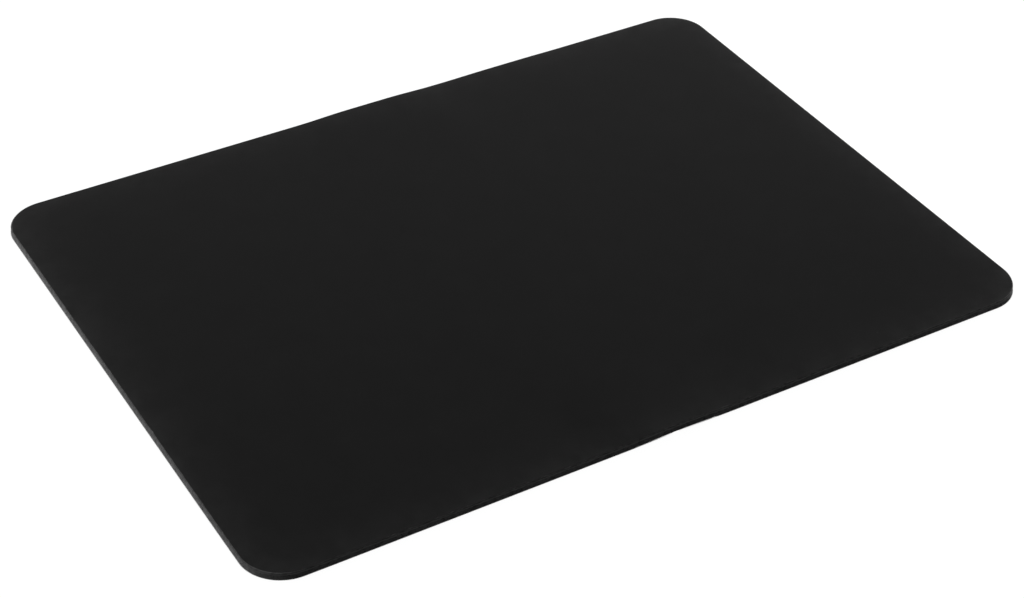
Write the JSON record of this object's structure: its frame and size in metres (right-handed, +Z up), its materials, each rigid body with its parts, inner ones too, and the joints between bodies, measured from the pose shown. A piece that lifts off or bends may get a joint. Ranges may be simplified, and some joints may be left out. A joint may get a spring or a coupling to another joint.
{
  "type": "mouse pad",
  "caption": "Thin rectangular mouse pad with rounded corners: smooth dark knitted cloth bonded to a black rubber sheet whose underside has a diamond tread.",
  "frame": {"origin": "middle of the underside, on the desk", "axes": "+X along the long side, +Y along the short side towards the far edge, +Z up out of the cloth"},
  "size_m": [0.24, 0.18, 0.002],
  "materials": {
    "rubber": "matte",
    "adhesive": "satin",
    "cloth": "matte"
  },
  "bodies": {
    "root": {"rubber_base": "rubber", "adhesive_film": "adhesive", "cloth_top": "cloth"}
  },
  "joints": []
}
